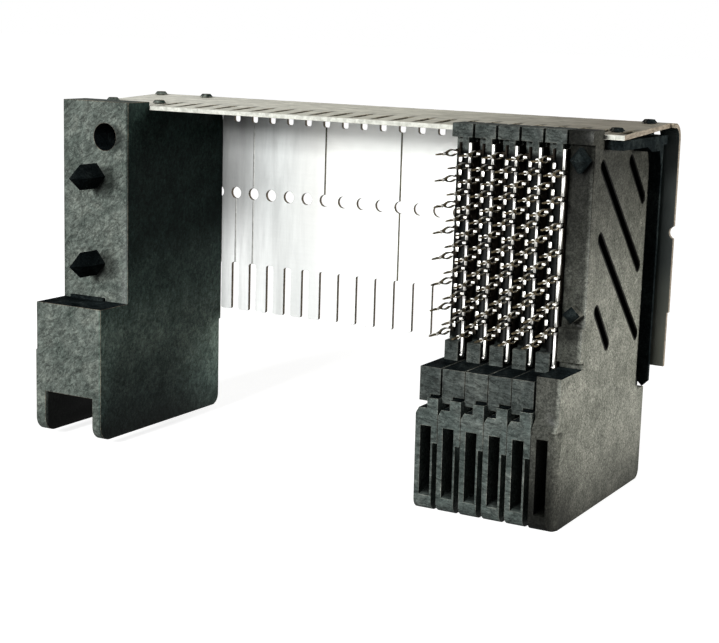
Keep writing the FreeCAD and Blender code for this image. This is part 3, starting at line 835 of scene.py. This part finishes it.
def row_of(name, count, pitch, start, step, finish, finishes, build, *details):
    """The plain mesh of a shape repeated in a row. Its faces take the place of finish among finishes."""
    work = bmesh.new()
    build(work, *details)
    bmesh.ops.recalc_face_normals(work, faces=work.faces)
    shape = link_object(name, mesh_from(name, work))
    carrier = link_object(name + "_row", bpy.data.meshes.new(name + "_row"))
    tree = row_tree(name + " row", shape)
    modifier = carrier.modifiers.new("row", "NODES")
    modifier.node_group = tree
    values = {"Count": count, "Pitch": pitch * MM, "Start": [part * MM for part in start], "Step": step,
              "Finish": finish}
    for item in tree.interface.items_tree:
        if item.in_out == "INPUT":
            modifier[item.identifier] = values[item.name]
    mesh = bpy.data.meshes.new_from_object(carrier.evaluated_get(bpy.context.evaluated_depsgraph_get()))
    bpy.data.objects.remove(carrier)
    bpy.data.objects.remove(shape)
    mesh.polygons.foreach_set("material_index", [finishes.index(finish)] * len(mesh.polygons))
    return mesh


def organizer_ends():
    low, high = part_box("organizer")
    return low[0] / MM, high[0] / MM


def organizer_strip():
    """The folded sheet before its openings are cut: its profile, swept along the strip."""
    slope = (TOP_BACK_Z - TOP_FRONT_Z) / (BACK_Y - TOP_FRONT_Y)
    tilt = math.degrees(math.atan(slope))
    centre_y = BACK_Y - BEND_RADIUS
    centre_z = TOP_FRONT_Z + slope * (centre_y - TOP_FRONT_Y) - BEND_RADIUS / math.cos(math.radians(tilt))
    outer = arc(centre_y, centre_z, BEND_RADIUS, 0, 90 + tilt, 14)
    inner = arc(centre_y, centre_z, BEND_RADIUS - SHEET, 90 + tilt, 0, 14)
    front_edge = [(TOP_FRONT_Y, TOP_FRONT_Z), (TOP_FRONT_Y, TOP_FRONT_Z - SHEET)]
    profile = [(BACK_Y, FINGER_BOTTOM)] + outer + front_edge + inner + [(BACK_Y - SHEET, FINGER_BOTTOM)]
    work = bmesh.new()
    prism(work, profile, side_point, *organizer_ends())
    bmesh.ops.recalc_face_normals(work, faces=work.faces)
    for face in work.faces:
        face.material_index = SHEET_FINISHES.index(strip_finish(face))
    return link_object("organizer_strip", mesh_from("organizer_strip", work), SHEET_FINISHES)


def strip_finish(face):
    """Finish of a face of the strip: top side, sheared ends, front edge, or the plain sheet."""
    centre = face.calc_center_median() / MM
    left, right = organizer_ends()
    if face.normal.z > 0.9 and centre.z > TOP_FRONT_Z - 0.1:
        return TOP_STEEL
    if abs(face.normal.x) > 0.9 and (centre.x < left + 0.01 or centre.x > right - TOP_END_TRIM - 0.1):
        return CUT_EDGE
    if face.normal.z < -0.9 and centre.z < FINGER_BOTTOM + 0.01:
        return CUT_EDGE
    if face.normal.y < -0.9 and centre.y < TOP_FRONT_Y + 0.01:
        return FRONT_EDGE
    return STEEL


def score_places():
    """Column, lowest and highest place of each score line."""
    above = [(column, MID_HOLE_Z, BEND_HOLE_BOTTOM + SCORE_OVERLAP) for column in UPPER_SCORES]
    below = [(column, COMB_SLOT_TOP - SCORE_OVERLAP, MID_HOLE_Z) for column in LOWER_SCORES]
    return above + below


def column_x(column):
    return COLUMN_ORIGIN + PITCH * column


def organizer_openings():
    """All openings and score lines of the organizer, as one body that is cut out of the strip."""
    through_back = (BACK_Y - SHEET - BACK_OVERRUN, BACK_Y + BACK_OVERRUN)
    through_bend = (BACK_Y - BEND_RADIUS, BACK_Y + BACK_OVERRUN)
    through_top = (TOP_FRONT_Z - OVERRUN, TOP_BACK_Z + OVERRUN)
    rows = [("comb_slot", 0, CUT_EDGE, comb_slot_outline(), back_point, through_back),
            ("bend_hole", 0, CUT_EDGE, bend_hole_outline(), back_point, through_bend),
            ("mid_hole", 0, CUT_EDGE, circle(0, MID_HOLE_Z, MID_HOLE_RADIUS), back_point, through_back),
            ("top_slot", 0.5, DEEP_SCORE, top_slot_outline(), top_point, through_top)]
    work = bmesh.new()
    for name, column, finish, outline, to_point, reach in rows:
        work.from_mesh(row_of(name, OPENINGS, PITCH, (column_x(column), 0, 0), (1, 0, 0), finish,
                              OPENING_FINISHES, prism, outline, to_point, *reach))
    right = organizer_ends()[1]
    past = right + OVERRUN
    prism(work, circle(right + END_NOTCH_OFFSET, MID_HOLE_Z, MID_HOLE_RADIUS), back_point, *through_back)
    for x in POST_COLUMNS:
        for y in POST_ROWS:
            prism(work, circle(x, y, POST_HOLE_RADIUS), top_point, *through_top)
    prism(work, rectangle(right - LOWER_END_TRIM, past, BELOW_FINGERS, COMB_SLOT_TOP),
          back_point, *through_back)
    prism(work, rectangle(right - TOP_END_TRIM, past, TOP_FRONT_Y - OVERRUN, BACK_Y - BEND_RADIUS),
          top_point, *through_top)
    front = BACK_Y - SHEET
    for column, low, high in score_places():
        outline = rectangle(column_x(column) - SCORE_WIDTH / 2, column_x(column) + SCORE_WIDTH / 2, low, high)
        finish = DEEP_SCORE if column in DEEP_SCORES else FAINT_SCORE
        for face in prism(work, outline, back_point, front - SCORE_OVERRUN, front + SCORE_DEPTH):
            face.material_index = OPENING_FINISHES.index(finish)
    bmesh.ops.recalc_face_normals(work, faces=work.faces)
    return link_object("organizer_openings", mesh_from("organizer_openings", work), OPENING_FINISHES)


def make_organizer():
    strip = organizer_strip()
    openings = organizer_openings()
    cut = strip.modifiers.new("openings", "BOOLEAN")
    cut.object = openings
    cut.operation = "DIFFERENCE"
    cut.solver = "EXACT"
    cut.use_self = True
    cut.material_mode = "TRANSFER"
    mesh = bpy.data.meshes.new_from_object(strip.evaluated_get(bpy.context.evaluated_depsgraph_get()))
    bpy.data.objects.remove(strip)
    bpy.data.objects.remove(openings)
    work = bmesh.new()
    work.from_mesh(mesh)
    bmesh.ops.remove_doubles(work, verts=work.verts, dist=0.002 * MM)
    bmesh.ops.dissolve_limit(work, angle_limit=math.radians(1), verts=work.verts, edges=work.edges,
                             delimit={"MATERIAL"})
    work.to_mesh(mesh)
    work.free()
    organizer = link_object("organizer_sheet", mesh)
    soften(organizer, width=0.035, angle=40)
    finish_piece(organizer, "organizer")


def tail_half_height(y):
    """Half the height of a tail at a place along it: neck, eye, neck and tip."""
    share = (y - EYE_MIDDLE_Y) / (EYE_BACK_Y - EYE_MIDDLE_Y)
    if abs(share) < 1:
        return NECK_HALF + EYE_BULGE * math.cos(share * math.pi / 2) ** 1.3
    if y < EYE_FRONT_Y:
        return NECK_HALF - TIP_TAPER * (EYE_FRONT_Y - y) / (EYE_FRONT_Y - TAIL_TIP_Y)
    return NECK_HALF


def build_tail(work, root_y):
    """A stamped tail whose eye bulges in height, with an almond opening through it."""
    stations = [root_y, EYE_BACK_Y]
    stations += [EYE_MIDDLE_Y + EYE_HOLE_REACH * math.cos(math.pi * step / 8) for step in range(9)]
    stations += [EYE_FRONT_Y, (EYE_FRONT_Y + TAIL_TIP_Y) / 2, TAIL_TIP_Y]
    for sign in (1, -1):
        rings = []
        for y in stations:
            share = abs(y - EYE_MIDDLE_Y) / EYE_HOLE_REACH
            gap = EYE_HOLE_HALF * math.sqrt(1 - share * share) if share < 0.999 else 0.0
            inner = sign * gap
            outer = sign * tail_half_height(y)
            width = TAIL_THICKNESS / 2 if y > TAIL_TIP_Y + TAIL_TIP_LENGTH else TAIL_THICKNESS / 3
            ring = [(-width, y, inner), (width, y, inner), (width, y, outer), (-width, y, outer)]
            rings.append([work.verts.new(Vector(point) * MM) for point in ring])
        for first, second in zip(rings, rings[1:]):
            for side in range(4):
                after = (side + 1) % 4
                work.faces.new((first[side], first[after], second[after], second[side]))
        work.faces.new(rings[0])
        work.faces.new(rings[-1])
    bmesh.ops.remove_doubles(work, verts=work.verts, dist=0.001 * MM)
    seam = [face for face in work.faces if all(abs(vert.co.z) < 1e-7 for vert in face.verts)]
    bmesh.ops.delete(work, geom=seam, context="FACES_ONLY")


def build_glints(work):
    """Painted highlights of a tail: bright spots at its shoulder by the root and at its coined tip."""
    outline = arc(0, 0, GLINT_RADIUS, 22.5, 337.5, 7)
    for front, back in GLINTS:
        prism(work, outline, back_point, front, back)


def build_lead_faces(work):
    """Painted highlights on a lead between two rows, as bright faces over and under the ground tail that crosses
    it.
    """
    left, right = LEAD_FACE_MIDDLE - LEAD_FACE_WIDTH / 2, LEAD_FACE_MIDDLE + LEAD_FACE_WIDTH / 2
    inward, upward = LEAD_FACE_CORNER
    for low, high in LEAD_FACES:
        outline = [(left + inward, low), (right - inward, low), (right, low + upward), (right, high - upward),
                   (right - inward, high), (left + inward, high), (left, high - upward), (left, low + upward)]
        prism(work, outline, back_point, *LEAD_FACE_DEPTH)


def split_at(work, y, **settings):
    bmesh.ops.bisect_plane(work, geom=work.verts[:] + work.edges[:] + work.faces[:], plane_co=(0, y * MM, 0),
                           dist=1e-8, **settings)


def without_tails(node, front_y):
    """The part of a node behind its tails, with fine edges: leads, feet of contacts and shield plate."""
    work = merged_copy(node)
    split_at(work, front_y, plane_no=(0, -1, 0), clear_outer=True)
    bmesh.ops.holes_fill(work, edges=[edge for edge in work.edges if edge.is_boundary])
    bmesh.ops.recalc_face_normals(work, faces=work.faces)
    corners = [edge for edge in work.edges
               if len(edge.link_faces) == 2 and edge.calc_face_angle(0) > math.radians(40)]
    bmesh.ops.bevel(work, geom=corners, offset=FINE_EDGE * MM, segments=1, affect="EDGES", clamp_overlap=True)
    split_at(work, FACE_Y, plane_no=(0, 1, 0))
    return work


def paint_stamping(work):
    """Front and right faces of the shield bars keep the bright plating, and the rest of a stamping is painted near
    black as shade.
    """
    for face in work.faces:
        centre = face.calc_center_median() / MM
        front = face.normal.y < -0.7 and centre.y < FACE_Y - 0.2
        right = face.normal.x > 0.7 and centre.y < FACE_Y + 0.02
        on_bar = (centre.x - FIRST_WAFER_LEFT) % PITCH > SHIELD_BAR_X
        finish = BAR_PLATING if on_bar and (front or right) else RECESS_PLATING_SHADE
        face.material_index = STAMPING_FINISHES.index(finish)


def brighten_eyes(mesh):
    """The upper faces of the eyes take the glint plating, a painted highlight."""
    front, back = BRIGHT_EYE
    for polygon in mesh.polygons:
        if polygon.normal.z > 0.6 and front < polygon.center.y / MM - FACE_Y < back:
            polygon.material_index = STAMPING_FINISHES.index(GLINT_PLATING)


def make_stamping(node, x, top, count, root_y, plate_front, eyes_shine, leads_show):
    """Contacts or a shield: what lies behind the tails, and a column of new tails at x."""
    start = (x, FACE_Y, top)
    down = (0, 0, -1)
    tails = row_of(node + "_tail", count, ROW_PITCH, start, down, TAIL_PLATING_DARK_REFLECTION, STAMPING_FINISHES,
                   build_tail, root_y)
    glints = row_of(node + "_glint", count, ROW_PITCH, start, down, GLINT_PLATING, STAMPING_FINISHES,
                    build_glints)
    rows = [tails, glints]
    if eyes_shine:
        brighten_eyes(tails)
    if leads_show:
        rows.append(row_of(node + "_lead_face", count - 1, ROW_PITCH, start, down, BAR_PLATING,
                           STAMPING_FINISHES, build_lead_faces))
    work = without_tails(node, plate_front)
    paint_stamping(work)
    for row in rows:
        work.from_mesh(row)
    name = node + "_stamping"
    piece = link_object(name, mesh_from(name, work), STAMPING_FINISHES)
    soften(piece, width=0.02, segments=1, angle=50)
    finish_piece(piece, node)


def make_wafer(number):
    name = "wafer_%d_" % number
    left = FIRST_WAFER_LEFT + PITCH * (number - 1)
    moulded_piece(name + "housing", (HOUSING_PLASTIC, HOUSING_EDGE_HIGHLIGHT, SHADE_BLACK_PLASTIC),
                  edge_width=0.05, is_painted_shade=painted_shade_on_housing)
    moulded_piece(name + "foot", (FOOT_PLASTIC, FOOT_EDGE_HIGHLIGHT, SHADE_BLACK_PLASTIC),
                  edge_width=0.07, is_painted_shade=painted_shade_on_foot)
    make_stamping(name + "signal_contacts", left + SIGNAL_TAIL_X, TOP_SIGNAL_Z, count=8,
                  root_y=0.0, plate_front=FACE_Y - 0.301, eyes_shine=number > 1, leads_show=True)
    make_stamping(name + "shield", left + GROUND_TAIL_X, TOP_GROUND_Z, count=7,
                  root_y=0.4, plate_front=FACE_Y - 0.52, eyes_shine=True, leads_show=False)


add_camera()
light_the_set()
add_floor()
moulded_piece("guide_module", (GUIDE_PLASTIC, GUIDE_EDGE_HIGHLIGHT, SHADE_BLACK_PLASTIC),
              edge_width=0.09, is_painted_shade=painted_shade_on_guide)
moulded_piece("end_wafer", (END_PLASTIC, END_EDGE_HIGHLIGHT, SHADE_BLACK_PLASTIC),
              edge_width=0.06, is_painted_shade=painted_shade_on_end)
for number in WAFERS:
    make_wafer(number)
make_organizer()
